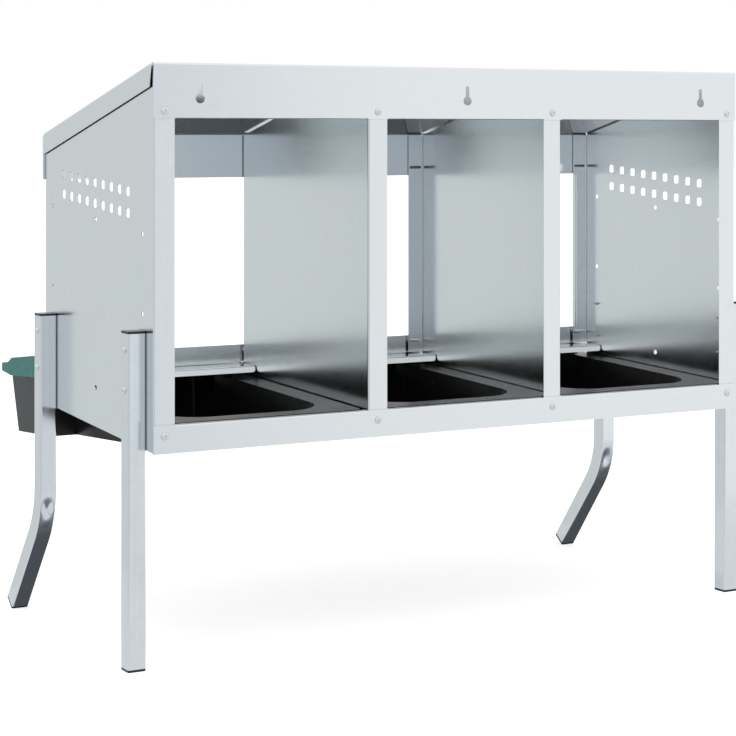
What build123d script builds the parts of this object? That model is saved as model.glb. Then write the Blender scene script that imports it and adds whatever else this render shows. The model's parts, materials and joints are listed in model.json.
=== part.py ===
from build123d import *
import math
import os

os.makedirs("parts", exist_ok=True)

# Sheet metal: thickness, and the bend radius at mid-thickness
sheet = 1.0
bend = 2.0
half_sheet = sheet / 2
bend_out = bend + half_sheet

# Nest box, measured over the side panels and over the two folded ends of a panel
box_w = 914.0
box_d = 371.0
bays = 3
half_w = box_w / 2
bay_pitch = box_w / bays
divider_x = half_w - bay_pitch

# Panels: jamb on the wall side, flange at the front, flange along the rising bottom edge
jamb_w = 28.5
front_flange_w = 25.5
front_set = 4.0
bottom_flange_w = 15.0
bottom_lap = 6.0
panel_rise = 3.66
panel_z = 271.0
divider_z = 274.2
panel_top_gap = 1.8
divider_top_gap = 2.2
slit_w = 20.5
slit_h = 4.0
slit_in = 13.6
slit_low_z = 353.0
slit_up = 12.0

# Tongues of the roof and the sill that hook into the slits
tongue_w = 19.0
tongue_tip_w = 15.0
tongue_reach = 1.4
tongue_lean = 50.0

# Edge of a side panel's front flange, turned outwards between the sill and the roof's drop
turned_in = 20.5
turned_out = 7.5
turned_lap = 6.0
turned_gap = 2.0

# Vents of a side panel, under the roof's top, and its spare holes, from the wall side and the floor
vent_w = 11.0
vent_h = 12.0
vent_r = 2.5
vent_count = 9
vent_rows = 2
vent_y = 80.0
vent_under = 189.5
vent_pitch = 27.3
vent_row = 27.4
vent_tilt = 4.9
hole_r = 3.25
hole_rear_y = 34.5
hole_mid_y = 185.5
hole_front_y = 336.5
hole_mid_low_z = 335.0
hole_mid_high_z = 555.0
hole_rear_low_z = 442.5
hole_rear_high_z = 542.0
hole_front_low_z = 457.5
hole_front_high_z = 568.0

# Roof cap
roof_z = 756.0
roof_pitch = 13.5
roof_flange_h = 28.5
roof_flange_end = 3.0
roof_flange_rear = 7.0
roof_overlap = 2.0
drop_back = 3.2
band_h = 70.0
band_return = 13.0
edge_strip = 6.0
drop_under = 152.0
return_gap = 1.0

# Hanging keyholes in the wall-side band
keyhole_in = 63.0
keyhole_under = 45.0
keyhole_r = 6.25
keyhole_slot_r = 2.75
keyhole_rise = 17.0
right_angle = 90.0

# Rail under the wall-side openings
rail_z = 271.0
rail_h = 35.5
rail_lip = 8.0

# Sill under the front entrances
sill_z = 333.0
sill_top = 360.5
sill_shelf = 45.0
sill_lip = 8.8
sill_lip_lean = 12.0
sill_lip_r = 5.0
sill_side_gap = 1.2
flange_end_gap = 1.7

# Sheet screws on the wall side
screw_r = 2.1
screw_hole_r = 2.25
screw_head_r = 4.7
screw_head_h = 2.6
screw_head_edge = 1.6
screw_len = 9.0
screw_slot_w = 1.1
screw_slot_len = 5.0
screw_slot_depth = 1.2
band_screw_up = 9.5
rail_screw_up = 22.0

# Legs: square tube outside the side panels
tube = 24.0
tube_wall = 1.2
tube_r = 2.5
leg_top = 422.0
leg_rear_inset = 34.5
leg_front_inset = 35.5
cap_t = 3.0
plug_len = 14.0
plug_fit = 0.15
splay = 38.0
splay_r = 120.0
splay_run = 134.9

# Long screws through the legs, with points inside the box
leg_screw_low_z = 348.7
leg_screw_high_z = 398.7
leg_screw_head_r = 4.2
leg_screw_head_h = 2.8
leg_screw_head_edge = 1.4
leg_screw_out = 2.5
leg_screw_tip = 5.0
leg_screw_taper = 19.0

# Trays: distances run from the wall side, widths are for one tray
plastic = 2.5
tray_gap = 4.3
rim_z = 306.9
rim_tilt = 2.04
rim_start = 8.0
rim_skirt = 8.0
rim_corner_r = 9.0
basin_rim_w = 34.5
basin_draft = 10.2
basin_start = 34.5
basin_floor_start = 43.5
basin_end = 450.0
basin_r = 56.0
basin_floor_r = 48.0
floor_z = 268.5
floor_tilt = 3.35
trough_gap = 5.3
trough_draft = 5.0
trough_start = 375.5
trough_floor_start = 377.5
trough_end = 521.0
trough_floor_end = 507.5
trough_r = 8.0
trough_floor_r = 6.0
trough_z = 325.0
trough_z_at = 399.0
trough_tilt = 3.66

# Hinge ears on a tray and the lid that turns on them
pin_y = 399.0
pin_z = 337.0
pin_r = 3.0
pin_fit = 0.06
ear_r = 8.0
ear_w = 26.0
ear_t = 2.7
ear_fit = 0.3
ear_foot = 25.0
ear_sink = 2.0
lid_heel_r = 11.6
lid_back = 2.0
lid_top_z = 358.0
lid_knee_y = 518.5
lid_knee_z = 343.3
lid_brow_y = 534.0
lid_brow_z = 335.6
lid_reach = 558.0
lid_lip_z = 332.8
lid_lip_low_z = 321.3
lid_soft_r = 3.0

# Runners that carry the tray rims
runner_w = 20.0
runner_h = 10.0
runner_start = 20.0
runner_end = 364.0
runner_fit = 0.1

# The wall side lies so far back that the whole object is centred on the Y axis
y_wall = (sheet + screw_head_h - lid_reach) / 2
y_front = y_wall + box_d
panel_d = box_d - front_set
panel_front = y_wall + panel_d
leg_rear_y = y_wall + leg_rear_inset
leg_front_y = y_front - leg_front_inset

roof_slope = math.tan(math.radians(roof_pitch))
roof_lean = math.cos(math.radians(roof_pitch))
roof_rear = y_wall - sheet
roof_front = y_front + sheet
drop_y = y_front - drop_back
band_z = roof_z - band_h
drop_z = roof_z - drop_under
vent_z = roof_z - vent_under
keyhole_z = roof_z - keyhole_under
slit_high_z = drop_z + slit_up
rail_top = rail_z + rail_h
band_screw_z = band_z + band_screw_up
rail_screw_z = rail_z + rail_screw_up
bay_edge_out = half_w - jamb_w
bay_edge_in = divider_x - jamb_w
openings = (
    (-bay_edge_out, -divider_x),
    (-bay_edge_in, bay_edge_in),
    (divider_x, bay_edge_out),
)
solid_strips = (
    (-half_w, -bay_edge_out),
    (-divider_x, -bay_edge_in),
    (bay_edge_in, divider_x),
    (bay_edge_out, half_w),
)
jamb_screw_x = (
    -half_w + jamb_w / 2,
    -divider_x + jamb_w / 2,
    divider_x - jamb_w / 2,
    half_w - jamb_w / 2,
)
slit_x = (
    -half_w + slit_in,
    -divider_x + slit_in,
    divider_x - slit_in,
    half_w - slit_in,
)
keyhole_x = half_w - keyhole_in
bay_w = bay_pitch - sheet
tray_w = bay_w - tray_gap - tray_gap
basin_w = tray_w - basin_rim_w - basin_rim_w
basin_floor_w = basin_w - basin_draft - basin_draft
trough_w = bay_w - trough_gap - trough_gap
trough_floor_w = trough_w - trough_draft - trough_draft
tray_mid = (half_w - sheet + divider_x) / 2
tray_x = {"left": -tray_mid, "middle": 0.0, "right": tray_mid}


def roof_top(y):
    return roof_z - roof_slope * (y - roof_rear)


def roof_under(y):
    return roof_top(y) - sheet / roof_lean


def roof_mid(y):
    return roof_top(y) - half_sheet / roof_lean


def tilted(x, y, z, angle):
    turn = math.radians(angle)
    return Plane(origin=(x, y, z), x_dir=(1, 0, 0), z_dir=(0, -math.sin(turn), math.cos(turn)))


def along(x, y, z, angle):
    turn = math.radians(angle)
    return Plane(origin=(x, y, z), x_dir=(1, 0, 0), z_dir=(0, -math.cos(turn), -math.sin(turn)))


def across(x):
    return Plane.YZ.offset(x)


def upright(y):
    return Plane.XZ.offset(-y)


def leaning(x, y, z, way):
    turn = math.radians(tongue_lean)
    root_z = z - way * (y - panel_front + sheet) / math.tan(turn)
    facing = (0, -way * math.cos(turn), -math.sin(turn))
    return Plane(origin=(x, y + half_sheet, root_z), x_dir=(1, 0, 0), z_dir=facing)


def export(part, label):
    part.label = label
    export_step(part, "parts/" + label + ".step")


def panel(web_x, low_z, top_gap, side_panel):
    web_mid = web_x + half_sheet
    front_end = web_x + front_flange_w
    rise = math.tan(math.radians(panel_rise))
    slit_z = (slit_low_z, slit_high_z)
    with BuildPart() as made:
        # Web, wall-side jamb and front flange, folded from one strip
        with BuildSketch(Plane.XY):
            with BuildLine():
                FilletPolyline(
                    (web_x + jamb_w, y_wall + half_sheet),
                    (web_mid, y_wall + half_sheet),
                    (web_mid, panel_front - half_sheet),
                    (front_end, panel_front - half_sheet),
                    radius=bend,
                )
            trace(line_width=sheet)
        extrude(amount=roof_z)
        # The top follows the roof
        with BuildSketch(across(web_x - sheet)):
            Polygon(
                (roof_rear, roof_under(roof_rear) - top_gap),
                (roof_front, roof_under(roof_front) - top_gap),
                (roof_front, roof_z + sheet),
                (roof_rear, roof_z + sheet),
                align=None,
            )
        extrude(amount=jamb_w + bend_out, mode=Mode.SUBTRACT)
        # The bottom rises to the front
        with BuildSketch(across(web_x - sheet)):
            Polygon(
                (roof_rear, low_z),
                (y_wall, low_z),
                (roof_front, low_z + rise * (roof_front - y_wall)),
                (roof_front, -sheet),
                (roof_rear, -sheet),
                align=None,
            )
        extrude(amount=jamb_w + bend_out, mode=Mode.SUBTRACT)
        # The front flange ends above the sill's shelf
        with BuildSketch(across(web_x - sheet)):
            with Locations((panel_front - bend_out - half_sheet, sill_z + sheet + flange_end_gap)):
                Rectangle(box_d, sill_z, align=(Align.MIN, Align.MAX))
        extrude(amount=jamb_w + bend_out, mode=Mode.SUBTRACT)
        # Flange along the bottom edge
        with BuildSketch(across(web_x - sheet)):
            Polygon(
                (y_wall + bend_out, low_z),
                (panel_front - bend_out, low_z),
                (panel_front - bend_out, low_z + rise * (panel_d - bend_out) + bottom_lap),
                (y_wall + bend_out, low_z + rise * bend_out + bottom_lap),
                align=None,
            )
        extrude(amount=jamb_w + bend_out, mode=Mode.SUBTRACT)
        with BuildSketch(along(0, y_wall + bend_out, low_z + rise * bend_out, panel_rise)):
            with BuildLine():
                FilletPolyline(
                    (web_mid, bottom_lap + bend),
                    (web_mid, half_sheet),
                    (web_x + bottom_flange_w, half_sheet),
                    radius=bend,
                )
            trace(line_width=sheet)
        flange_len = (panel_d - bend_out - bend_out - half_sheet) / math.cos(math.radians(panel_rise))
        extrude(amount=-flange_len)
        # Slits in the front flange
        with BuildSketch(upright(panel_front)):
            with Locations(*[(web_x + slit_in, z) for z in slit_z]):
                SlotOverall(slit_w, slit_h)
        extrude(amount=bend_out, both=True, mode=Mode.SUBTRACT)
        # Screw holes in the jamb
        with BuildSketch(upright(y_wall)):
            with Locations(*[(web_x + jamb_w / 2, z) for z in (band_screw_z, rail_screw_z)]):
                Circle(screw_hole_r)
        extrude(amount=bend_out, both=True, mode=Mode.SUBTRACT)
        if side_panel:
            turned_low = sill_top + turned_gap
            turned_high = drop_z - turned_gap
            with BuildSketch(Plane.XY.offset(turned_low)):
                with Locations((web_x + turned_in - turned_lap, panel_front)):
                    Rectangle(front_flange_w, bend_out, align=(Align.MIN, Align.CENTER))
            extrude(amount=turned_high - turned_low, mode=Mode.SUBTRACT)
            with BuildSketch(Plane.XY.offset(turned_low)):
                with BuildLine():
                    FilletPolyline(
                        (web_x + turned_in - turned_lap, panel_front - half_sheet),
                        (web_x + turned_in, panel_front - half_sheet),
                        (web_x + turned_in, panel_front + turned_out),
                        radius=bend,
                    )
                trace(line_width=sheet)
            extrude(amount=turned_high - turned_low)
            with BuildSketch(across(web_x)):
                for row in range(vent_rows):
                    for step in range(vent_count):
                        turn = math.radians(vent_tilt)
                        run = step * vent_pitch
                        spot_y = y_wall + vent_y + run * math.cos(turn)
                        spot_z = vent_z + row * vent_row + run * math.sin(turn)
                        with Locations((spot_y, spot_z)):
                            RectangleRounded(vent_w, vent_h, vent_r)
                with Locations(
                    (y_wall + hole_rear_y, hole_rear_low_z),
                    (y_wall + hole_rear_y, hole_rear_high_z),
                    (y_wall + hole_mid_y, hole_mid_low_z),
                    (y_wall + hole_mid_y, hole_mid_high_z),
                    (y_wall + hole_front_y, hole_front_low_z),
                    (y_wall + hole_front_y, hole_front_high_z),
                ):
                    Circle(hole_r)
                with Locations(
                    (leg_rear_y, leg_screw_low_z),
                    (leg_rear_y, leg_screw_high_z),
                    (leg_front_y, leg_screw_low_z),
                    (leg_front_y, leg_screw_high_z),
                ):
                    Circle(screw_hole_r)
            extrude(amount=bend_out, both=True, mode=Mode.SUBTRACT)
    return made.part


left_side_panel = panel(-half_w, panel_z, panel_top_gap, True)
left_divider = panel(-divider_x, divider_z, divider_top_gap, False)
export(left_side_panel, "left_side_panel")
export(left_side_panel.mirror(Plane.YZ), "right_side_panel")
export(left_divider, "left_divider")
export(left_divider.mirror(Plane.YZ), "right_divider")


def tongue(y):
    depth = y + half_sheet - panel_front + sheet + tongue_reach
    length = depth / math.sin(math.radians(tongue_lean))
    Polygon(
        (-tongue_w / 2, 0),
        (tongue_w / 2, 0),
        (tongue_tip_w / 2, length),
        (-tongue_tip_w / 2, length),
        align=None,
    )


# Roof cap: band, slope and front drop folded in one line, then the side flanges
cap_half = half_w + roof_overlap + sheet
fold_half = cap_half - bend_out
with BuildPart() as roof:
    with BuildSketch(Plane.YZ):
        with BuildLine():
            FilletPolyline(
                (y_wall - half_sheet, band_z + edge_strip),
                (y_wall - half_sheet, roof_mid(y_wall - half_sheet)),
                (drop_y + half_sheet, roof_mid(drop_y + half_sheet)),
                (drop_y + half_sheet, drop_z),
                radius=bend,
            )
        trace(line_width=sheet)
    extrude(amount=fold_half, both=True)
    # The drop reaches out to the side flanges
    with BuildSketch(across(-cap_half)):
        with Locations((drop_y + half_sheet, drop_z)):
            Rectangle(
                sheet, roof_under(drop_y) - drop_z - bend_out, align=(Align.CENTER, Align.MIN)
            )
    extrude(amount=cap_half + cap_half)
    # Lower edge of the band, turned inwards over each opening
    for start, stop in openings:
        with BuildSketch(across(start + return_gap)):
            with BuildLine():
                FilletPolyline(
                    (y_wall - half_sheet, band_z + edge_strip + bend),
                    (y_wall - half_sheet, band_z + half_sheet),
                    (roof_rear + band_return, band_z + half_sheet),
                    radius=bend,
                )
            trace(line_width=sheet)
        extrude(amount=stop - start - return_gap - return_gap)
    for start, stop in solid_strips:
        left_end = -fold_half if start == -half_w else start - return_gap
        right_end = fold_half if stop == half_w else stop + return_gap
        with BuildSketch(across(left_end)):
            with Locations((y_wall - half_sheet, band_z)):
                Rectangle(sheet, edge_strip + bend, align=(Align.CENTER, Align.MIN))
        extrude(amount=right_end - left_end)
    # Side flanges: a bend along the slope, and below it a plate slanted at the rear and joined to the drop
    bend_start = roof_rear + roof_flange_end
    bend_stop = drop_y - return_gap
    plate_start = roof_rear + roof_flange_rear
    plate_stop = drop_y + half_sheet
    with BuildSketch(along(0, bend_start, roof_mid(bend_start), -roof_pitch)):
        with BuildLine():
            FilletPolyline(
                (-cap_half + half_sheet, -bend_out),
                (-cap_half + half_sheet, 0),
                (cap_half - half_sheet, 0),
                (cap_half - half_sheet, -bend_out),
                radius=bend,
            )
        trace(line_width=sheet)
    extrude(amount=(bend_start - bend_stop) / roof_lean)
    for edge_x in (-cap_half, cap_half - sheet):
        with BuildSketch(across(edge_x)):
            Polygon(
                (bend_start, roof_mid(bend_start) - bend_out),
                (bend_stop - half_sheet, roof_mid(bend_stop - half_sheet) - bend_out),
                (plate_stop, roof_under(drop_y) - bend_out - half_sheet),
                (plate_stop, roof_mid(plate_stop) - roof_flange_h),
                (plate_start, roof_mid(plate_start) - roof_flange_h),
                align=None,
            )
        extrude(amount=sheet)
    # Hanging keyholes
    with BuildSketch(upright(y_wall)):
        with Locations((-keyhole_x, keyhole_z), (0, keyhole_z), (keyhole_x, keyhole_z)):
            Circle(keyhole_r)
            with Locations((0, keyhole_rise / 2)):
                SlotCenterToCenter(keyhole_rise, keyhole_slot_r + keyhole_slot_r, rotation=right_angle)
    extrude(amount=bend_out, both=True, mode=Mode.SUBTRACT)
    with BuildSketch(upright(y_wall)):
        with Locations(*[(x, band_screw_z) for x in jamb_screw_x]):
            Circle(screw_hole_r)
    extrude(amount=bend_out, both=True, mode=Mode.SUBTRACT)
    # Tongues of the drop, pushed through the slits of the front flanges
    for x in slit_x:
        with BuildSketch(leaning(x, drop_y, slit_high_z, 1)):
            tongue(drop_y)
        extrude(amount=half_sheet, both=True)
export(roof.part, "roof")

# Rail under the wall-side openings
with BuildPart() as rail:
    with BuildSketch(across(-half_w)):
        with Locations((y_wall - half_sheet, rail_z)):
            Rectangle(sheet, rail_h - edge_strip, align=(Align.CENTER, Align.MIN))
    extrude(amount=box_w)
    for start, stop in openings:
        with BuildSketch(across(start + return_gap)):
            with BuildLine():
                FilletPolyline(
                    (y_wall - half_sheet, rail_top - edge_strip - bend),
                    (y_wall - half_sheet, rail_top - half_sheet),
                    (roof_rear + rail_lip, rail_top - half_sheet),
                    radius=bend,
                )
            trace(line_width=sheet)
        extrude(amount=stop - start - return_gap - return_gap)
    for start, stop in solid_strips:
        left_end = start if start == -half_w else start - return_gap
        right_end = stop if stop == half_w else stop + return_gap
        with BuildSketch(across(left_end)):
            with Locations((y_wall - half_sheet, rail_top)):
                Rectangle(sheet, edge_strip + bend, align=(Align.CENTER, Align.MAX))
        extrude(amount=right_end - left_end)
    with BuildSketch(upright(y_wall)):
        with Locations(*[(x, rail_screw_z) for x in jamb_screw_x]):
            Circle(screw_hole_r)
    extrude(amount=bend_out, both=True, mode=Mode.SUBTRACT)
export(rail.part, "rear_bottom_rail")

# Sill: face across all bays, and in each bay a shelf with a turned-down lip
shelf_ends = (
    (-half_w + sheet + sill_side_gap, -divider_x - sill_side_gap),
    (-divider_x + sheet + sill_side_gap, divider_x - sheet - sill_side_gap),
    (divider_x + sill_side_gap, half_w - sheet - sill_side_gap),
)
sill_strips = (
    (-cap_half, shelf_ends[0][0]),
    (shelf_ends[0][1], shelf_ends[1][0]),
    (shelf_ends[1][1], shelf_ends[2][0]),
    (shelf_ends[2][1], cap_half),
)
lip_y = y_front - sill_shelf + half_sheet
lip_low_y = lip_y - sill_lip * math.sin(math.radians(sill_lip_lean))
lip_low_z = sill_z + half_sheet - sill_lip * math.cos(math.radians(sill_lip_lean))
with BuildPart() as sill:
    with BuildSketch(across(-cap_half)):
        with Locations((y_front + half_sheet, sill_z + edge_strip)):
            Rectangle(sheet, sill_top - sill_z - edge_strip, align=(Align.CENTER, Align.MIN))
    extrude(amount=cap_half + cap_half)
    for start, stop in shelf_ends:
        with BuildSketch(across(start)):
            with BuildLine():
                FilletPolyline(
                    (y_front + half_sheet, sill_z + edge_strip + bend),
                    (y_front + half_sheet, sill_z + half_sheet),
                    (lip_y, sill_z + half_sheet),
                    (lip_low_y, lip_low_z),
                    radius=bend,
                )
            trace(line_width=sheet)
        extrude(amount=stop - start)
    low_edges = sill.edges().group_by(SortBy.LENGTH)[0].group_by(Axis.Z)[0]
    fillet(low_edges, radius=sill_lip_r)
    # Between the shelves the face reaches down to their level
    for start, stop in sill_strips:
        with BuildSketch(across(start)):
            with Locations((y_front + half_sheet, sill_z)):
                Rectangle(sheet, edge_strip + bend, align=(Align.CENTER, Align.MIN))
        extrude(amount=stop - start)
    for x in slit_x:
        with BuildSketch(leaning(x, y_front, slit_low_z, -1)):
            tongue(y_front)
        extrude(amount=half_sheet, both=True)
export(sill.part, "front_sill")

# Runners for the trays, one on each side of a bay
rim_rise = math.tan(math.radians(rim_tilt))
rim_lean = math.cos(math.radians(rim_tilt))
runner_top = rim_z - (rim_skirt + runner_fit) / rim_lean
runner_run = (runner_end - runner_start) / rim_lean


def runner(face_x, side):
    first_y = y_wall + runner_start
    with BuildPart() as made:
        with BuildSketch(along(face_x, first_y, runner_top + rim_rise * runner_start, rim_tilt)):
            with BuildLine():
                FilletPolyline(
                    (side * half_sheet, -runner_h),
                    (side * half_sheet, -half_sheet),
                    (side * runner_w, -half_sheet),
                    radius=bend,
                )
            trace(line_width=sheet)
        extrude(amount=-runner_run)
    return made.part


export(runner(-half_w + sheet, 1), "left_bay_left_runner")
export(runner(-divider_x, -1), "left_bay_right_runner")
export(runner(-divider_x + sheet, 1), "middle_bay_left_runner")
export(runner(divider_x - sheet, -1), "middle_bay_right_runner")
export(runner(divider_x, 1), "right_bay_left_runner")
export(runner(half_w - sheet, -1), "right_bay_right_runner")

# Legs. The foot of a front leg is cut square to the tube and stands on its lower edge
tube_half = tube / 2
leg_x = half_w + tube_half
splay_turn = math.radians(splay)
foot_y = leg_front_y + splay_r * (1 - math.cos(splay_turn)) + splay_run * math.sin(splay_turn)
foot_z = tube_half * math.sin(splay_turn)
bend_y = foot_y - splay_run * math.sin(splay_turn)
bend_z = foot_z + splay_run * math.cos(splay_turn)
bend_start_z = bend_z + splay_r * math.sin(splay_turn)
front_end_y = foot_y - cap_t * math.sin(splay_turn)
front_end_z = foot_z + cap_t * math.cos(splay_turn)
leg_screw_heights = (leg_screw_low_z, leg_screw_high_z)

with BuildPart() as rear_leg:
    with BuildSketch(Plane.XY.offset(cap_t)):
        with Locations((-leg_x, leg_rear_y)):
            RectangleRounded(tube, tube, tube_r)
            RectangleRounded(
                tube - tube_wall - tube_wall,
                tube - tube_wall - tube_wall,
                tube_r - tube_wall,
                mode=Mode.SUBTRACT,
            )
    extrude(amount=leg_top - cap_t - cap_t)
    with BuildSketch(across(-leg_x)):
        with Locations(*[(leg_rear_y, z) for z in leg_screw_heights]):
            Circle(screw_hole_r)
    extrude(amount=tube, both=True, mode=Mode.SUBTRACT)
export(rear_leg.part, "rear_left_leg")
export(rear_leg.part.mirror(Plane.YZ), "rear_right_leg")

with BuildPart() as front_leg:
    with BuildLine(across(-leg_x)) as leg_path:
        Line((leg_front_y, leg_top - cap_t), (leg_front_y, bend_start_z))
        RadiusArc((leg_front_y, bend_start_z), (bend_y, bend_z), -splay_r)
        Line((bend_y, bend_z), (front_end_y, front_end_z))
    with BuildSketch(Plane(origin=leg_path.line @ 0, x_dir=(1, 0, 0), z_dir=leg_path.line % 0)):
        RectangleRounded(tube, tube, tube_r)
        RectangleRounded(
            tube - tube_wall - tube_wall,
            tube - tube_wall - tube_wall,
            tube_r - tube_wall,
            mode=Mode.SUBTRACT,
        )
    sweep(path=leg_path.line)
    with BuildSketch(across(-leg_x)):
        with Locations(*[(leg_front_y, z) for z in leg_screw_heights]):
            Circle(screw_hole_r)
    extrude(amount=tube, both=True, mode=Mode.SUBTRACT)
export(front_leg.part, "front_left_leg")
export(front_leg.part.mirror(Plane.YZ), "front_right_leg")

# Plugs that close the tubes: a cap outside and a shank inside
plug_w = tube - tube_wall - tube_wall - plug_fit - plug_fit


def plug(place):
    with BuildPart() as made:
        with BuildSketch(place):
            RectangleRounded(tube, tube, tube_r)
        extrude(amount=cap_t)
        with BuildSketch(place):
            RectangleRounded(plug_w, plug_w, tube_r - tube_wall)
        extrude(amount=-plug_len)
    return made.part


def plug_pair(place, label):
    left_plug = plug(place)
    export(left_plug, label.replace("SIDE", "left"))
    export(left_plug.mirror(Plane.YZ), label.replace("SIDE", "right"))


top_z = leg_top - cap_t
splay_down = (0, math.sin(splay_turn), -math.cos(splay_turn))
plug_pair(Plane(origin=(-leg_x, leg_rear_y, top_z)), "rear_SIDE_leg_cap")
plug_pair(Plane(origin=(-leg_x, leg_front_y, top_z)), "front_SIDE_leg_cap")
plug_pair(Plane(origin=(-leg_x, leg_rear_y, cap_t), x_dir=(1, 0, 0), z_dir=(0, 0, -1)), "rear_SIDE_foot")
plug_pair(
    Plane(origin=(-leg_x, front_end_y, front_end_z), x_dir=(1, 0, 0), z_dir=splay_down), "front_SIDE_foot"
)

# Screws through the legs and the side panels, with their points inside the box
leg_screw_spots = [(y, z) for y in (leg_rear_y, leg_front_y) for z in leg_screw_heights]
leg_screw_seat = -half_w - tube
leg_screw_run = tube + sheet + leg_screw_out
with BuildPart() as leg_screws:
    with BuildSketch(across(leg_screw_seat)):
        with Locations(*leg_screw_spots):
            Circle(screw_r)
    extrude(amount=leg_screw_run)
    with BuildSketch(across(leg_screw_seat + leg_screw_run)):
        with Locations(*leg_screw_spots):
            Circle(screw_r)
    extrude(amount=leg_screw_tip, taper=leg_screw_taper)
    with BuildSketch(across(leg_screw_seat)):
        with Locations(*leg_screw_spots):
            Circle(leg_screw_head_r)
    extrude(amount=-leg_screw_head_h)
    head_edges = leg_screws.edges().filter_by(GeomType.CIRCLE).group_by(Axis.X)[0]
    chamfer(head_edges, length=leg_screw_head_edge)
    with BuildSketch(across(leg_screw_seat - leg_screw_head_h)):
        with Locations(*leg_screw_spots):
            Rectangle(screw_slot_len, screw_slot_w)
            Rectangle(screw_slot_w, screw_slot_len)
    extrude(amount=screw_slot_depth, mode=Mode.SUBTRACT)
    mirror(about=Plane.YZ)
export(leg_screws.part, "leg_screws")


# Screws on the wall side
rear_screw_spots = [(x, z) for x in jamb_screw_x for z in (band_screw_z, rail_screw_z)]
with BuildPart() as rear_screws:
    with BuildSketch(upright(roof_rear)):
        with Locations(*rear_screw_spots):
            Circle(screw_r)
    extrude(amount=-screw_len)
    with BuildSketch(upright(roof_rear)):
        with Locations(*rear_screw_spots):
            Circle(screw_head_r)
    extrude(amount=screw_head_h)
    head_edges = rear_screws.edges().filter_by(GeomType.CIRCLE).group_by(Axis.Y)[0]
    chamfer(head_edges, length=screw_head_edge, length2=screw_head_edge / 2)
    with BuildSketch(upright(roof_rear - screw_head_h)):
        with Locations(*rear_screw_spots):
            Rectangle(screw_slot_len, screw_slot_w)
            Rectangle(screw_slot_w, screw_slot_len)
    extrude(amount=-screw_slot_depth, mode=Mode.SUBTRACT)
export(rear_screws.part, "rear_screws")

# Trays: rim, drafted nest basin and egg trough in one moulding, with hinge ears
trough_half = trough_w / 2
tray_half = tray_w / 2
pin_at = (y_wall + pin_y, pin_z)
ear_out = trough_half - plastic - ear_fit


def tray(mid_x):
    rim_plane = tilted(mid_x, y_wall, rim_z, rim_tilt)
    floor_plane = tilted(mid_x, y_wall, floor_z, -floor_tilt)
    seat_y = y_wall + trough_z_at
    seat_plane = tilted(mid_x, seat_y, trough_z, -trough_tilt)
    seat_lean = math.cos(math.radians(trough_tilt))
    near = (trough_start - trough_z_at) / seat_lean
    far = (trough_end - trough_z_at) / seat_lean
    rim_stop = (trough_start + plastic) / rim_lean
    with BuildPart() as made:
        # Rim with its skirts
        with BuildSketch(rim_plane):
            with Locations((0, (rim_start + rim_stop) / 2)):
                RectangleRounded(tray_w, rim_stop - rim_start, rim_corner_r)
        extrude(amount=-plastic)
        with BuildSketch(rim_plane):
            with Locations((0, (rim_start + rim_stop) / 2)):
                RectangleRounded(tray_w, rim_stop - rim_start, rim_corner_r)
                RectangleRounded(
                    tray_w - plastic - plastic,
                    rim_stop - rim_start - plastic - plastic,
                    rim_corner_r - plastic,
                    mode=Mode.SUBTRACT,
                )
        extrude(amount=-rim_skirt)
        # Outside of the basin
        with BuildSketch(rim_plane.offset(-plastic / 2)):
            with Locations((0, (basin_start - plastic + basin_end) / 2)):
                RectangleRounded(
                    basin_w + plastic + plastic, basin_end - basin_start + plastic, basin_r + plastic
                )
        with BuildSketch(floor_plane):
            with Locations((0, (basin_floor_start + basin_end) / 2)):
                RectangleRounded(basin_floor_w, basin_end - basin_floor_start, basin_floor_r)
        loft(ruled=True)
        # Outside of the trough
        with BuildSketch(seat_plane):
            with Locations((0, (near + far) / 2)):
                RectangleRounded(trough_w, far - near, trough_r)
        with BuildSketch(floor_plane):
            with Locations((0, (trough_floor_start + trough_floor_end) / 2)):
                RectangleRounded(
                    trough_floor_w, trough_floor_end - trough_floor_start, trough_floor_r
                )
        loft(ruled=True)
        # Hollow of the basin, open to the trough
        with BuildSketch(rim_plane):
            with Locations((0, (basin_start + basin_end) / 2)):
                RectangleRounded(basin_w, basin_end - basin_start, basin_r)
        with BuildSketch(floor_plane.offset(plastic)):
            with Locations((0, (basin_floor_start + plastic + basin_end) / 2)):
                RectangleRounded(
                    basin_floor_w - plastic - plastic,
                    basin_end - basin_floor_start - plastic,
                    basin_floor_r,
                )
        loft(ruled=True, mode=Mode.SUBTRACT)
        # Hollow of the trough
        with BuildSketch(seat_plane):
            with Locations((0, (near + far) / 2)):
                RectangleRounded(
                    trough_w - plastic - plastic, far - near - plastic - plastic, trough_r - plastic
                )
        with BuildSketch(floor_plane.offset(plastic)):
            with Locations((0, (trough_floor_start + trough_floor_end) / 2)):
                RectangleRounded(
                    trough_floor_w - plastic - plastic,
                    trough_floor_end - trough_floor_start - plastic - plastic,
                    trough_floor_r - plastic,
                )
        loft(ruled=True, mode=Mode.SUBTRACT)
        # Hinge ears
        for side in (-1, 1):
            with BuildSketch(across(mid_x + side * (ear_out - ear_t))):
                with Locations((pin_at[0], trough_z - ear_foot)):
                    Rectangle(ear_w, ear_foot - ear_sink, align=(Align.CENTER, Align.MIN))
            extrude(amount=side * (ear_t + ear_fit + ear_fit))
            with BuildSketch(across(mid_x + side * (ear_out - ear_t))):
                with Locations(pin_at):
                    Circle(ear_r)
                with Locations((pin_at[0], pin_z)):
                    Rectangle(ear_r + ear_r, pin_z - trough_z + ear_foot, align=(Align.CENTER, Align.MAX))
            extrude(amount=side * ear_t)
        with BuildSketch(across(mid_x - tray_half)):
            with Locations(pin_at):
                Circle(pin_r + pin_fit)
        extrude(amount=tray_w, mode=Mode.SUBTRACT)
    return made.part


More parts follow.
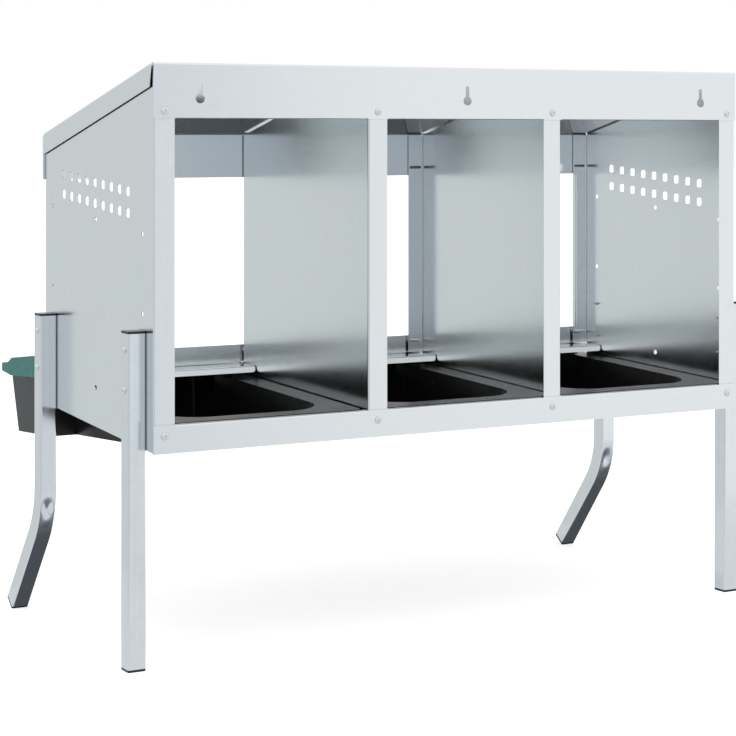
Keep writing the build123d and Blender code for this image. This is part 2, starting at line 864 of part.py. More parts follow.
def lid(mid_x):
    heel_low = pin_z - lid_heel_r
    toe_z = heel_low - math.tan(math.radians(trough_tilt)) * (trough_end - pin_y)
    heel_y = pin_y - lid_heel_r
    inner_half = trough_half - plastic
    top_drop = (lid_top_z - lid_knee_z) / (lid_knee_y - pin_y + lid_back)
    back_y = heel_y - plastic
    with BuildPart() as made:
        # Outline seen from the side
        with BuildSketch(across(mid_x)) as outline:
            with BuildLine():
                Polyline(
                    (y_wall + pin_y, heel_low),
                    (y_wall + trough_end, toe_z),
                    (y_wall + lid_reach, lid_lip_low_z),
                    (y_wall + lid_reach, lid_lip_z),
                    (y_wall + lid_brow_y, lid_brow_z),
                    (y_wall + lid_knee_y, lid_knee_z),
                    (y_wall + pin_y - lid_back, lid_top_z),
                    (y_wall + heel_y, pin_z),
                )
                RadiusArc((y_wall + heel_y, pin_z), (y_wall + pin_y, heel_low), -lid_heel_r)
            make_face()
            soft = outline.vertices().filter_by_position(Axis.Y, lid_brow_z - half_sheet, lid_top_z + sheet)
            fillet(soft, radius=lid_soft_r)
        extrude(amount=trough_half, both=True)
        # Hollow, open below and at the heel
        with BuildSketch(across(mid_x)):
            Polygon(
                (y_wall + back_y, floor_z),
                (y_wall + lid_reach - plastic, floor_z),
                (y_wall + lid_reach - plastic, lid_lip_z - plastic),
                (y_wall + lid_brow_y - plastic / 2, lid_brow_z - plastic),
                (y_wall + lid_knee_y - plastic / 2, lid_knee_z - plastic),
                (y_wall + back_y, lid_top_z - plastic + top_drop * (pin_y - lid_back - back_y)),
                align=None,
            )
        extrude(amount=inner_half, both=True, mode=Mode.SUBTRACT)
        # Hinge pins
        for side in (-1, 1):
            with BuildSketch(across(mid_x + side * (inner_half + plastic / 2))):
                with Locations(pin_at):
                    Circle(pin_r)
            extrude(amount=-side * (plastic / 2 + ear_fit + ear_t + ear_fit))
    return made.part


for bay, mid_x in tray_x.items():
    export(tray(mid_x), "tray_" + bay)
    export(lid(mid_x), "lid_" + bay)
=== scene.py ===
import json
import math

import bpy
import numpy as np
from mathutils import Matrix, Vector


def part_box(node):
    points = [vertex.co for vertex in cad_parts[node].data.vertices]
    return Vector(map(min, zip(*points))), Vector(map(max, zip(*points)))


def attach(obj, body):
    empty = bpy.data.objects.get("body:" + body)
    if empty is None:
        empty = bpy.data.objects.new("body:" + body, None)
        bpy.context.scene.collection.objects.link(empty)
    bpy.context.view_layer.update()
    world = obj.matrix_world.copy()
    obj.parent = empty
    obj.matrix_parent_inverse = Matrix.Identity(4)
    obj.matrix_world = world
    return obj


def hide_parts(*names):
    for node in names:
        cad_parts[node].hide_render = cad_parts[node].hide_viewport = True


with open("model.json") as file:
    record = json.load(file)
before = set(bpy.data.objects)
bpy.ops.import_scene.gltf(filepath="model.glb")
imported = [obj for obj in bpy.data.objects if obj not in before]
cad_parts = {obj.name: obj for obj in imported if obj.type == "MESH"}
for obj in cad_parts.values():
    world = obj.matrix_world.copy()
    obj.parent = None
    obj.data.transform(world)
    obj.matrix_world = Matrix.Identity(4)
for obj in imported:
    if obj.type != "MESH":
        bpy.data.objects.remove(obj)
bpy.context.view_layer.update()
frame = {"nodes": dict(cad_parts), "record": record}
nodes = frame["nodes"]
slotOf = {part["node"]: part["material_slot"] for part in frame["record"]["subparts"]}
mm = 0.001
turn = 2 * math.pi
print("frame: %d nodes" % len(nodes))


# small helpers for node trees

def newFinish(name, shaderKind="ShaderNodeBsdfPrincipled"):
    finish = bpy.data.materials.new(name)
    finish.use_nodes = True
    tree = finish.node_tree
    tree.nodes.clear()
    output = tree.nodes.new("ShaderNodeOutputMaterial")
    shader = tree.nodes.new(shaderKind)
    tree.links.new(shader.outputs[0], output.inputs["Surface"])
    return finish, tree, shader


def addNode(tree, kind, sockets=None, **settings):
    node = tree.nodes.new(kind)
    for key, value in settings.items():
        setattr(node, key, value)
    for key, value in (sockets or {}).items():
        node.inputs[key].default_value = value
    return node


def spread(tree, source, low, high, fromLow=0.0, fromHigh=1.0):
    # straight line from the source's range to low..high, clamped
    ends = {"From Min": fromLow, "From Max": fromHigh, "To Min": low, "To Max": high}
    node = addNode(tree, "ShaderNodeMapRange", ends)
    tree.links.new(source, node.inputs["Value"])
    return node.outputs["Result"]


def placed(tree, scale=(1, 1, 1)):
    # object coordinates, stretched by scale
    coords = addNode(tree, "ShaderNodeTexCoord")
    mapping = addNode(tree, "ShaderNodeMapping", {"Scale": scale})
    tree.links.new(coords.outputs["Object"], mapping.inputs["Vector"])
    return mapping.outputs["Vector"]


# detail and roughness of each kind of noise, and the middle part of its range that is used
noiseKinds = {
    "streak": (4.0, 0.60),
    "slow": (1.0, 0.40),
    "cloud": (4.0, 0.60),
    "grain": (2.0, 0.50),
    "plating": (3.0, 0.55),
}
noiseMiddle = (0.3, 0.7)


def noiseAt(tree, vector, scale, kind):
    detail, rough = noiseKinds[kind]
    node = addNode(tree, "ShaderNodeTexNoise", {"Scale": scale, "Detail": detail, "Roughness": rough})
    tree.links.new(vector, node.inputs["Vector"])
    return node.outputs["Fac"]


def cellsAt(tree, vector, scale):
    # one random value for each cell of a Voronoi pattern
    node = addNode(tree, "ShaderNodeTexVoronoi", {"Scale": scale, "Randomness": 1.0})
    tree.links.new(vector, node.inputs["Vector"])
    split = addNode(tree, "ShaderNodeSeparateColor")
    tree.links.new(node.outputs["Color"], split.inputs["Color"])
    return split.outputs["Red"]


def blendTones(tree, factor, first, second):
    # first where the factor is 0, second where it is 1; each a colour or a socket
    node = addNode(tree, "ShaderNodeMix", data_type="RGBA")
    tree.links.new(factor, node.inputs["Factor"])
    for socket, tone in zip([s for s in node.inputs if s.type == "RGBA"], (first, second)):
        if isinstance(tone, tuple):
            socket.default_value = (*tone, 1)
        else:
            tree.links.new(tone, socket)
    return [s for s in node.outputs if s.type == "RGBA"][0]


def rampAt(tree, source, stops):
    # colour or share by a value; the stops are (value, colour or share) in rising order
    first, last = stops[0][0], stops[-1][0]
    node = addNode(tree, "ShaderNodeValToRGB")
    tree.links.new(spread(tree, source, 0.0, 1.0, first, last), node.inputs["Fac"])
    elements = node.color_ramp.elements
    for _ in stops[2:]:
        elements.new(0.5)
    for element, (value, tone) in zip(elements, stops):
        element.position = (value - first) / (last - first)
        element.color = (*(tone if isinstance(tone, tuple) else (tone,) * 3), 1)
    return node.outputs["Color"]


def addUp(tree, first, second, share):
    # first plus share times second
    node = addNode(tree, "ShaderNodeMath", operation="MULTIPLY_ADD")
    tree.links.new(second, node.inputs[0])
    node.inputs[1].default_value = share
    tree.links.new(first, node.inputs[2])
    return node.outputs["Value"]


def addBump(tree, shader, height, depth):
    node = addNode(tree, "ShaderNodeBump", {"Strength": 1.0, "Distance": depth})
    tree.links.new(height, node.inputs["Height"])
    tree.links.new(node.outputs["Normal"], shader.inputs["Normal"])


# zinc-coated sheet: nearly a mirror, with a faint spangle, rolling streaks along the grain, a slow wave, and
# painted shade that darkens the creases
sheetLook = {
    "toneLow": (0.775, 0.805, 0.818),
    "toneHigh": (0.815, 0.842, 0.852),
    "roughLow": 0.17,
    "roughHigh": 0.23,
    "spangle": 95.0,
    "spangleWeight": 0.25,
    "streak": 900.0,
    "streakLong": 14.0,
    "streakWeight": 0.6,
    "streakShare": 0.003,
    "wave": 4.5,
    "waveDepth": 0.30 * mm,
    "creaseReach": 4.0 * mm,
    "creaseShade": 0.82,
    "creaseRange": (0.45, 0.95),
    "creaseSamples": 8,
}


def sheetFinish(name, grain, look):
    finish, tree, shader = newFinish(name)
    along = tuple(look["streakLong"] if axis == grain else look["streak"] for axis in "XYZ")
    plain = placed(tree)
    streaks = noiseAt(tree, placed(tree, along), 1.0, "streak")
    cells = cellsAt(tree, plain, look["spangle"])
    slow = noiseAt(tree, plain, look["wave"], "slow")
    mixture = addUp(tree, spread(tree, streaks, 0.0, look["streakWeight"], *noiseMiddle), cells, look["spangleWeight"])
    tone = blendTones(tree, mixture, look["toneLow"], look["toneHigh"])
    reach = {"Distance": look["creaseReach"]}
    # painted shade: ambient occlusion darkens the base colour in creases and gaps between parts
    crease = addNode(tree, "ShaderNodeAmbientOcclusion", reach, samples=look["creaseSamples"])
    outOfCrease = spread(tree, crease.outputs["AO"], 0.0, 1.0, *look["creaseRange"])
    paintedCreaseShade = tuple(look["creaseShade"] * share for share in look["toneLow"])
    tree.links.new(blendTones(tree, outOfCrease, paintedCreaseShade, tone), shader.inputs["Base Color"])
    tree.links.new(spread(tree, mixture, look["roughLow"], look["roughHigh"]), shader.inputs["Roughness"])
    addBump(tree, shader, addUp(tree, slow, streaks, look["streakShare"]), look["waveDepth"])
    shader.inputs["Metallic"].default_value = 1.0
    return finish


# the roof's sheet mirrors more sharply
roofLook = dict(sheetLook, roughLow=0.09, roughHigh=0.13, streakShare=0.0015)

# leg tube: brighter, smoother, drawn lengthwise
tubeLook = dict(
    sheetLook,
    toneLow=(0.74, 0.77, 0.79),
    toneHigh=(0.83, 0.855, 0.87),
    roughLow=0.13,
    roughHigh=0.20,
    streakLong=5.0,
    waveDepth=0.12 * mm,
)

# zinc-plated hardware
zincLook = {
    "toneLow": (0.76, 0.78, 0.79),
    "toneHigh": (0.87, 0.88, 0.89),
    "roughLow": 0.44,
    "roughHigh": 0.58,
    "cloud": 700.0,
}


def zincFinish(name, look):
    finish, tree, shader = newFinish(name)
    cloud = noiseAt(tree, placed(tree), look["cloud"], "plating")
    tree.links.new(blendTones(tree, cloud, look["toneLow"], look["toneHigh"]), shader.inputs["Base Color"])
    rough = spread(tree, cloud, look["roughLow"], look["roughHigh"], *noiseMiddle)
    tree.links.new(rough, shader.inputs["Roughness"])
    shader.inputs["Metallic"].default_value = 1.0
    return finish


# moulded plastics: fine grain on a slow wave, cloudy gloss and a slight tone change; the nest end of a tray is duller
trayLook = {
    "toneLow": (0.006, 0.006, 0.0065),
    "toneHigh": (0.011, 0.011, 0.0115),
    "roughLow": 0.20,
    "roughHigh": 0.28,
    "gloss": 0.27,
    "dullGloss": 0.05,
    "dullTo": 0.035,
    "glossFrom": 0.105,
    "cloud": 22.0,
    "grain": 1400.0,
    "grainDepth": 0.06 * mm,
    "wave": 30.0,
    "waveStretch": (1, 1, 1),
    "waveDepth": 0.12 * mm,
}
lidLook = {
    "toneLow": (0.009, 0.140, 0.119),
    "toneHigh": (0.018, 0.190, 0.163),
    "roughLow": 0.20,
    "roughHigh": 0.32,
    "gloss": 0.24,
    "cloud": 26.0,
    "grain": 1200.0,
    "grainDepth": 0.07 * mm,
    "wave": 90.0,
    "waveStretch": (0.6, 0.5, 1),
    "waveDepth": 1.1 * mm,
}
plugLook = {
    "toneLow": (0.010, 0.010, 0.011),
    "toneHigh": (0.018, 0.018, 0.019),
    "roughLow": 0.20,
    "roughHigh": 0.28,
    "gloss": 0.36,
    "cloud": 120.0,
    "grain": 1400.0,
    "grainDepth": 0.06 * mm,
    "wave": 120.0,
    "waveStretch": (1, 1, 1),
    "waveDepth": 0.06 * mm,
}


def plasticFinish(name, look):
    finish, tree, shader = newFinish(name)
    plain = placed(tree)
    cloud = noiseAt(tree, plain, look["cloud"], "cloud")
    grain = noiseAt(tree, plain, look["grain"], "grain")
    wave = noiseAt(tree, placed(tree, look["waveStretch"]), look["wave"], "slow")
    tree.links.new(blendTones(tree, cloud, look["toneLow"], look["toneHigh"]), shader.inputs["Base Color"])
    rough = spread(tree, cloud, look["roughLow"], look["roughHigh"], *noiseMiddle)
    tree.links.new(rough, shader.inputs["Roughness"])
    addBump(tree, shader, addUp(tree, wave, grain, look["grainDepth"] / look["waveDepth"]), look["waveDepth"])
    shader.inputs["Specular IOR Level"].default_value = look["gloss"]
    if "dullGloss" in look:
        place = addNode(tree, "ShaderNodeSeparateXYZ")
        tree.links.new(plain, place.inputs["Vector"])
        gloss = spread(tree, place.outputs["Y"], look["dullGloss"], look["gloss"], look["dullTo"], look["glossFrom"])
        tree.links.new(gloss, shader.inputs["Specular IOR Level"])
    return finish


uprightSheet = sheetFinish("sheetUprightGrain", "Z", sheetLook)
levelSheet = sheetFinish("sheetLevelGrain", "X", sheetLook)
runnerSheet = sheetFinish("sheetRunnerGrain", "Y", sheetLook)
roofSheet = sheetFinish("sheetRoofGrain", "X", roofLook)
legTube = sheetFinish("drawnTube", "Z", tubeLook)
zincHardware = zincFinish("zincHardware", zincLook)
trayPlastic = plasticFinish("trayPlastic", trayLook)
lidPlastic = plasticFinish("lidPlastic", lidLook)
plugPlastic = plasticFinish("plugPlastic", plugLook)

finishOf = {
    "leg_tube": legTube,
    "zinc_fasteners": zincHardware,
    "plug_plastic": plugPlastic,
    "tray_plastic": trayPlastic,
    "lid_plastic": lidPlastic,
}


def sheetFor(name):
    # panels and dividers were cut with the grain upright, runners lengthwise, the rest across
    if name.endswith("panel") or name.endswith("divider"):
        return uprightSheet
    if name.endswith("runner"):
        return runnerSheet
    return roofSheet if name == "roof" else levelSheet


for name, node in nodes.items():
    node.data.materials.clear()
    node.data.materials.append(finishOf.get(slotOf[name]) or sheetFor(name))
print("finishes: %d materials on %d nodes" % (len(bpy.data.materials), len(nodes)))


def addPiece(name, points, faces, slot, node):
    # a smooth piece on the box, in the place of a CAD node and with that node's finish
    mesh = bpy.data.meshes.new(name)
    mesh.from_pydata(points.reshape(-1, 3).tolist(), [], faces)
    mesh.polygons.foreach_set("use_smooth", np.ones(len(mesh.polygons), dtype=bool))
    mesh.materials.append(finishOf[slot])
    piece = bpy.data.objects.new(name, mesh)
    bpy.context.scene.collection.objects.link(piece)
    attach(piece, "box")
    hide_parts(node)
    print("%s: %d faces" % (name, len(faces)))


# screws: cross recess in a domed head, a thread, and a point
rearScrewLook = {
    "headR": 4.7 * mm,
    "headH": 2.6 * mm,
    "core": 1.65 * mm,
    "crest": 2.15 * mm,
    "pitch": 1.4 * mm,
    "length": 9.0 * mm,
    "point": 3.0 * mm,
    "blunt": 0.04,
}
legScrewLook = {
    "headR": 4.2 * mm,
    "headH": 2.8 * mm,
    "core": 1.65 * mm,
    "crest": 2.1 * mm,
    "pitch": 1.6 * mm,
    "length": 32.5 * mm,
    "point": 6.5 * mm,
    "blunt": 0.04,
}
recessLook = {"long": 5.0 * mm, "wide": 1.1 * mm, "deep": 1.3 * mm, "edge": 0.25 * mm}
screwGrid = {"around": 60, "dome": 22, "perPitch": 6}


def nodePoints(name):
    mesh = nodes[name].data
    flat = np.empty(3 * len(mesh.vertices))
    mesh.vertices.foreach_get("co", flat)
    return flat.reshape(-1, 3)


def middles(values, gap=12.0 * mm):
    # middle of each group that gaps wider than gap leave along an axis
    ordered = np.sort(values)
    groups = np.split(ordered, np.flatnonzero(np.diff(ordered) > gap) + 1)
    return np.array([(group[0] + group[-1]) / 2 for group in groups])


def screwSurface(look, recess, grid):
    # a ring at s has radius rho(s) and height h(s): a superellipse dome to the seat, in under the head, down the
    # shank, and in to the point; the dome loses a crossed slot, and the shank gains a ridge by h / pitch + a / turn
    bend = np.linspace(0, math.pi / 2, grid["dome"] + 1)[1:]
    domeRho = look["headR"] * np.sin(bend)
    domeH = look["headH"] * np.sqrt(np.clip(1 - np.sin(bend) ** 3, 0, 1))
    steps = int(look["length"] / look["pitch"] * grid["perPitch"])
    shankH = -np.linspace(0, look["length"], steps + 1)[:-1]
    taper = np.clip((look["length"] + shankH) / look["point"], look["blunt"], 1)
    rho = np.concatenate([domeRho, look["core"] * taper])[:, None]
    h = np.concatenate([domeH, shankH])[:, None]
    ridge = np.concatenate([np.zeros(grid["dome"]), (look["crest"] - look["core"]) * np.sqrt(taper)])[:, None]
    a = np.linspace(0, turn, grid["around"], endpoint=False)[None, :]
    phase = np.mod(h / look["pitch"] + a / turn, 1)
    rho = rho + ridge * (1 - np.abs(2 * phase - 1)) ** 2
    u = rho * np.cos(a)
    v = rho * np.sin(a)

    def within(half, value):
        return np.clip((half - np.abs(value)) / recess["edge"] + 0.5, 0, 1)

    slots = np.maximum(
        within(recess["wide"] / 2, u) * within(recess["long"] / 2, v),
        within(recess["wide"] / 2, v) * within(recess["long"] / 2, u),
    )
    onDome = np.concatenate([np.ones(grid["dome"]), np.zeros(steps)])[:, None]
    rings = np.stack([u, v, h - recess["deep"] * slots * onDome], axis=-1).reshape(-1, 3)
    top = [[0, 0, look["headH"] - recess["deep"]]]
    tip = [[0, 0, -look["length"]]]
    return np.concatenate([top, rings, tip]), grid["dome"] + steps


def ringFaces(rows, around):
    # quads between neighbouring rings, and fans to the first and the last point
    a = np.arange(around)
    b = (a + 1) % around
    row = 1 + around * np.arange(rows - 1)[:, None]
    quads = np.stack([row + a, row + around + a, row + around + b, row + b], axis=-1).reshape(-1, 4)
    low = 1 + around * (rows - 1)
    topFan = np.stack([0 * a, 1 + a, 1 + b], axis=-1)
    tipFan = np.stack([low + a, 0 * a + low + around, low + b], axis=-1)
    return quads, np.concatenate([topFan, tipFan])


def makeScrews(name, look, spots, node):
    # spots: seat point, and the two cross directions and the outward one of each screw
    points, rows = screwSurface(look, recessLook, screwGrid)
    quads, fans = ringFaces(rows, screwGrid["around"])
    shift = len(points) * np.arange(len(spots))[:, None, None]
    seats = np.array([spot[0] for spot in spots])
    axes = np.array([spot[1] for spot in spots])
    placedPoints = seats[:, None, :] + np.einsum("pk,skx->spx", points, axes)
    faces = (shift + quads).reshape(-1, 4).tolist() + (shift + fans).reshape(-1, 3).tolist()
    addPiece(name, placedPoints, faces, "zinc_fasteners", node)


rearPoints = nodePoints("rear_screws")
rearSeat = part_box("rear_screws")[0][1] + rearScrewLook["headH"]
rearAxes = [(1, 0, 0), (0, 0, 1), (0, -1, 0)]
rearSpots = [((x, rearSeat, z), rearAxes) for x in middles(rearPoints[:, 0]) for z in middles(rearPoints[:, 2])]
makeScrews("rearScrews", rearScrewLook, rearSpots, "rear_screws")

legPoints = nodePoints("leg_screws")
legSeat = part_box("leg_screws")[1][0] - legScrewLook["headH"]
legSpots = []
for side, axes in ((-1, [(0, 0, 1), (0, 1, 0), (-1, 0, 0)]), (1, [(0, 1, 0), (0, 0, 1), (1, 0, 0)])):
    legSpots += [((side * legSeat, y, z), axes) for y in middles(legPoints[:, 1]) for z in middles(legPoints[:, 2])]
makeScrews("legScrews", legScrewLook, legSpots, "leg_screws")


# front legs: square tube, bent round a former, with the outer wall sunk in at the bend; the dent's and the bulge's
# places are degrees round the bend, and brim is a ring close to each open end that keeps the shading flat there
legLook = {
    "tube": 24.0 * mm,
    "corner": 2.5 * mm,
    "wall": 1.2 * mm,
    "splay": 38.0,
    "radius": 120.0 * mm,
    "run": 134.9 * mm,
    "plug": 3.0 * mm,
    "brim": 0.3 * mm,
    "dent": 3.3 * mm,
    "bulge": 0.9 * mm,
    "dentFrom": 6.0,
    "dentLow": 14.2,
    "bulgeAt": 22.5,
    "bulgeTo": 28.0,
    "dentHalf": 10.5 * mm,
}
legGrid = {"straight": 8, "bend": 110, "run": 8, "side": 24, "round": 6}


def smoothStep(value):
    clamped = np.clip(value, 0, 1)
    return clamped * clamped * (3 - 2 * clamped)


def tubeRing(look, grid, inset):
    # once round a square with rounded corners: u to the side, v outwards from the bend
    half = look["tube"] / 2 - inset
    corner = look["corner"] - inset
    flat = half - corner
    edge = np.linspace(-flat, flat, grid["side"])
    bow = np.linspace(0, math.pi / 2, grid["round"] + 2)[1:-1]
    u = np.concatenate([edge, flat + corner * np.sin(bow)])
    v = np.concatenate([0 * edge + half, flat + corner * np.cos(bow)])
    return np.concatenate([u, v, -u, -v]), np.concatenate([v, -u, -v, u])


def legSurface(look, grid, foot, inset):
    # a ring at p sits on the leg's middle line: straight down, round the bend by the angle b, and straight out;
    # the outer wall sinks by dent, swells by bulge and comes level again, as three smooth steps of b in turn, and
    # all of it fades towards the tube's corners as the square of a cosine
    splay = math.radians(look["splay"])
    radius, run, half, brim = look["radius"], look["run"], look["tube"] / 2, look["brim"]
    bendTop = run * math.cos(splay) + (radius + half) * math.sin(splay)
    drop = np.append(foot["top"], np.linspace(foot["top"] - brim, bendTop, grid["straight"], endpoint=False))
    b = np.linspace(0, splay, grid["bend"])
    last = run - look["plug"]
    out = np.append(np.linspace(0, last - brim, grid["run"] + 1)[1:], last)
    angle = np.concatenate([0 * drop, b, 0 * out + splay])[:, None]
    bendY = radius * (1 - math.cos(splay))
    bendZ = bendTop - radius * math.sin(splay)
    y = np.concatenate([0 * drop, radius * (1 - np.cos(b)), bendY + out * math.sin(splay)])[:, None]
    z = np.concatenate([drop, bendTop - radius * np.sin(b), bendZ - out * math.cos(splay)])[:, None]
    u, v = (side[None, :] for side in tubeRing(look, grid, inset))
    turned = np.degrees(angle)

    def stepOf(start, end):
        return smoothStep((turned - look[start]) / (look[end] - look[start]))

    sink = look["dent"] * stepOf("dentFrom", "dentLow")
    swell = (look["dent"] + look["bulge"]) * stepOf("dentLow", "bulgeAt")
    level = look["bulge"] * stepOf("bulgeAt", "bulgeTo")
    outerWall = v > half - 2 * look["wall"]
    fade = np.cos(math.pi / 2 * np.clip(u / look["dentHalf"], -1, 1)) ** 2 * outerWall
    reach = v - (sink - swell + level) * fade
    x = foot["x"] + u + 0 * reach
    return np.stack([x, foot["y"] + y - reach * np.cos(angle), z - reach * np.sin(angle)], axis=-1)


def makeLeg(name, node):
    low, high = (np.array(corner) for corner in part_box(node))
    foot = {"x": (low[0] + high[0]) / 2, "y": low[1] + legLook["tube"] / 2, "top": high[2]}
    outside = legSurface(legLook, legGrid, foot, 0.0)
    inside = legSurface(legLook, legGrid, foot, legLook["wall"])
    points = np.concatenate([outside, inside[::-1]])
    rows, around = points.shape[:2]
    r = around * np.arange(rows)[:, None]
    rNext = around * ((np.arange(rows) + 1) % rows)[:, None]
    a = np.arange(around)[None, :]
    aNext = (a + 1) % around
    quads = np.stack([r + a, r + aNext, rNext + aNext, rNext + a], axis=-1).reshape(-1, 4)
    addPiece(name, points, quads.tolist(), "leg_tube", node)


makeLeg("frontLeftLeg", "front_left_leg")
makeLeg("frontRightLeg", "front_right_leg")


# studio: pale floor, and a white room whose darker parts only the metal mirrors
floorLook = {"half": 30.0, "tone": 0.60, "rough": 0.9, "lift": 0.70}
floorEnds = (-floorLook["half"], floorLook["half"])


def flatPatch(name, across, along, height):
    # a point is (x, y, height) for x in across and y in along
    x, y = np.meshgrid(across, along, indexing="ij")
    mesh = bpy.data.meshes.new(name)
    mesh.from_pydata(np.stack([x, y, 0 * x + height], axis=-1).reshape(-1, 3).tolist(), [], [(0, 2, 3, 1)])
    patch = bpy.data.objects.new(name, mesh)
    bpy.context.scene.collection.objects.link(patch)
    return patch


floor = flatPatch("floor", floorEnds, floorEnds, 0.0)
floorFinish, tree, shader = newFinish("paleFloor")
shader.inputs["Base Color"].default_value = (*[floorLook["tone"]] * 3, 1)
shader.inputs["Roughness"].default_value = floorLook["rough"]
shader.inputs["Emission Color"].default_value = (1, 1, 1, 1)
path = addNode(tree, "ShaderNodeLightPath")
lift = spread(tree, path.outputs["Is Camera Ray"], 0.0, floorLook["lift"])
tree.links.new(lift, shader.inputs["Emission Strength"])
floor.data.materials.append(floorFinish)
floor.visible_glossy = False

# painted reflection of the floor, a glowing patch that only the metal sees: a tone along Y that is a painted shadow
# under the box, darker and bluer beside the front feet, and one pale tone by X wherever no front leg mirrors it
paintedFloorReflectionLook = {
    "across": (-0.80, 1.00),
    "along": (-0.90, 0.30),
    "drop": -1.0 * mm,
    "tones": [
        (-0.90, 0.84),
        (-0.27, 0.80),
        (-0.17, 0.56),
        (-0.12, 0.34),
        (-0.07, 0.24),
        (-0.03, 0.19),
        (0.00, 0.14),
        (0.04, 0.095),
        (0.165, 0.085),
        (0.18, 0.70),
        (0.30, 0.74),
    ],
    "paintedShadowTint": (0.90, 1.0, 1.18),
    "pale": (0.74, 0.77, 0.78),
    "paleAt": [
        (-0.80, 1),
        (-0.484, 1),
        (-0.479, 0),
        (-0.30, 0),
        (-0.24, 1),
        (0.37, 1),
        (0.44, 0),
        (1.00, 0),
    ],
}
paintedFloorReflection = flatPatch("paintedFloorReflection", paintedFloorReflectionLook["across"], paintedFloorReflectionLook["along"], paintedFloorReflectionLook["drop"])
paintedReflectionFinish, tree, glow = newFinish("paintedFloorReflectionGlow", "ShaderNodeEmission")
place = addNode(tree, "ShaderNodeSeparateXYZ")
tree.links.new(placed(tree), place.inputs["Vector"])
paintedShadowTones = [
    (y, tuple(tone * (1 + (share - 1) * (1 - tone)) for share in paintedFloorReflectionLook["paintedShadowTint"]))
    for y, tone in paintedFloorReflectionLook["tones"]
]
# painted shadow: the glowing patch darkens along Y under the box
reflectedFloorWithPaintedShadow = rampAt(tree, place.outputs["Y"], paintedShadowTones)
beside = rampAt(tree, place.outputs["X"], paintedFloorReflectionLook["paleAt"])
tree.links.new(blendTones(tree, beside, reflectedFloorWithPaintedShadow, paintedFloorReflectionLook["pale"]), glow.inputs["Color"])
paintedFloorReflection.data.materials.append(paintedReflectionFinish)
for kind in ("camera", "diffuse", "transmission", "volume_scatter", "shadow"):
    setattr(paintedFloorReflection, "visible_" + kind, False)

# what the metal mirrors: a tone for each bearing, clockwise from the wall side's own direction, white sky above, and
# a dark card low down on the wall side, painted shade that the roof's underside mirrors by way of the drop and a
# divider
roomLook = {
    "white": (1.0, 1.0, 1.0),
    "fill": (0.85, 0.85, 0.85),
    "bearings": [
        (-180, (0.675, 0.715, 0.720)),
        (-150, (0.675, 0.715, 0.720)),
        (-90, (0.675, 0.710, 0.725)),
        (-45, (0.64, 0.680, 0.715)),
        (-37, (0.53, 0.565, 0.618)),
        (-24.6, (0.455, 0.505, 0.565)),
        (-22.6, (0.775, 0.800, 0.830)),
        (17, (0.74, 0.770, 0.795)),
        (24, (0.765, 0.795, 0.830)),
        (30, (0.95, 0.965, 0.970)),
        (130, (0.95, 0.965, 0.970)),
        (160, (0.73, 0.765, 0.775)),
        (180, (0.675, 0.715, 0.720)),
    ],
    "paintedShadeCard": (0.010, 0.013, 0.018),
    "paintedShadeCardHeights": [(-1.1, 1), (-0.505, 1), (-0.47, 0), (-0.345, 0), (-0.305, 1), (1.1, 1)],
    "paintedShadeCardBearings": [(-180, 1), (-50, 1), (-44, 0), (-22, 0), (-16, 1), (180, 1)],
    "skyFrom": 0.06,
    "skyTo": 0.26,
}


def inRadians(stops):
    return [(math.radians(angle), tone) for angle, tone in stops]


world = bpy.data.worlds.new("whiteRoom")
bpy.context.scene.world = world
world.use_nodes = True
tree = world.node_tree
tree.nodes.clear()
way = addNode(tree, "ShaderNodeSeparateXYZ")
tree.links.new(addNode(tree, "ShaderNodeTexCoord").outputs["Generated"], way.inputs["Vector"])
back = addNode(tree, "ShaderNodeMath", operation="MULTIPLY")
tree.links.new(way.outputs["Y"], back.inputs[0])
back.inputs[1].default_value = -1.0
bearing = addNode(tree, "ShaderNodeMath", operation="ARCTAN2")
tree.links.new(way.outputs["X"], bearing.inputs[0])
tree.links.new(back.outputs["Value"], bearing.inputs[1])
compass = rampAt(tree, bearing.outputs["Value"], inRadians(roomLook["bearings"]))
clear = addNode(tree, "ShaderNodeMath", operation="MAXIMUM")  # 0 on the painted shade card, 1 elsewhere
tree.links.new(rampAt(tree, way.outputs["Z"], roomLook["paintedShadeCardHeights"]), clear.inputs[0])
tree.links.new(rampAt(tree, bearing.outputs["Value"], inRadians(roomLook["paintedShadeCardBearings"])), clear.inputs[1])
sky = spread(tree, way.outputs["Z"], 0.0, 1.0, roomLook["skyFrom"], roomLook["skyTo"])
aboveCard = blendTones(tree, sky, compass, roomLook["white"])
mirrored = blendTones(tree, clear.outputs["Value"], roomLook["paintedShadeCard"], aboveCard)
path = addNode(tree, "ShaderNodeLightPath")
seen = addUp(tree, path.outputs["Is Camera Ray"], path.outputs["Is Transmission Ray"], 1.0)
shown = blendTones(tree, seen, roomLook["fill"], roomLook["white"])
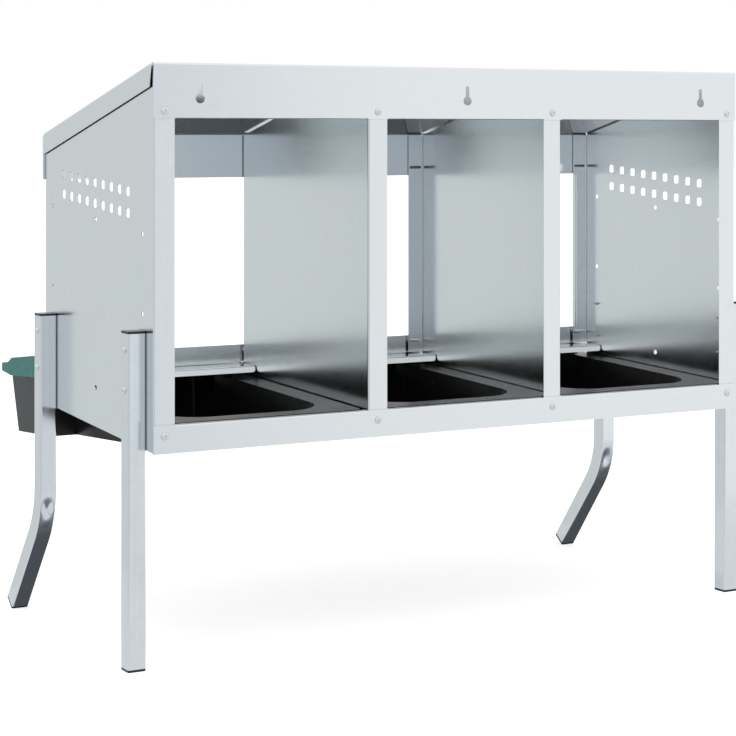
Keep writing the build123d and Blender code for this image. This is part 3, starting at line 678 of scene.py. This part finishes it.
shown = blendTones(tree, path.outputs["Is Glossy Ray"], shown, mirrored)
room = addNode(tree, "ShaderNodeBackground", {"Strength": 1.0})
tree.links.new(shown, room.inputs["Color"])
output = tree.nodes.new("ShaderNodeOutputWorld")
tree.links.new(room.outputs["Background"], output.inputs["Surface"])
world.cycles.sampling_method = "NONE"

lampLook = {
    "top": {"at": (-0.4, -0.6, 2.6), "aim": (0, 0, 0.4), "size": 2.4, "power": 18.0},
    "front": {"at": (-2.6, -2.2, 1.9), "aim": (-0.2, 0, 0.35), "size": 1.8, "power": 9.0},
}
for name, look in lampLook.items():
    lamp = bpy.data.lights.new(name + "Lamp", "AREA")
    lamp.shape = "DISK"
    lamp.size = look["size"]
    lamp.energy = look["power"]
    holder = bpy.data.objects.new(name + "Lamp", lamp)
    bpy.context.scene.collection.objects.link(holder)
    away = np.array(look["at"]) - np.array(look["aim"])
    flat = math.hypot(away[0], away[1])
    holder.location = look["at"]
    holder.rotation_euler = (math.atan2(flat, away[2]), 0, math.atan2(away[0], -away[1]))
    holder.visible_glossy = False
print("studio: floor, room and %d lamps" % len(lampLook))


# camera: level, with the horizon high in a square picture
cameraLook = {
    "at": (-1.5230, -2.6802, 0.6661),
    "heading": 29.692,
    "focalPixels": 2122.57,
    "pictureSide": 736.0,
    "horizonRow": 134.414,
    "film": 36.0,
    "farthest": 100.0,
}
camera = bpy.data.objects.new("camera", bpy.data.cameras.new("camera"))
bpy.context.scene.collection.objects.link(camera)
camera.location = cameraLook["at"]
camera.rotation_euler = (math.radians(90), 0, -math.radians(cameraLook["heading"]))
camera.data.sensor_width = cameraLook["film"]
camera.data.lens = cameraLook["focalPixels"] / cameraLook["pictureSide"] * cameraLook["film"]
camera.data.shift_y = cameraLook["horizonRow"] / cameraLook["pictureSide"] - 0.5
camera.data.clip_end = cameraLook["farthest"]
bpy.context.scene.camera = camera
bpy.context.scene.view_settings.view_transform = "Standard"
print("camera: %.1f mm lens" % camera.data.lens)
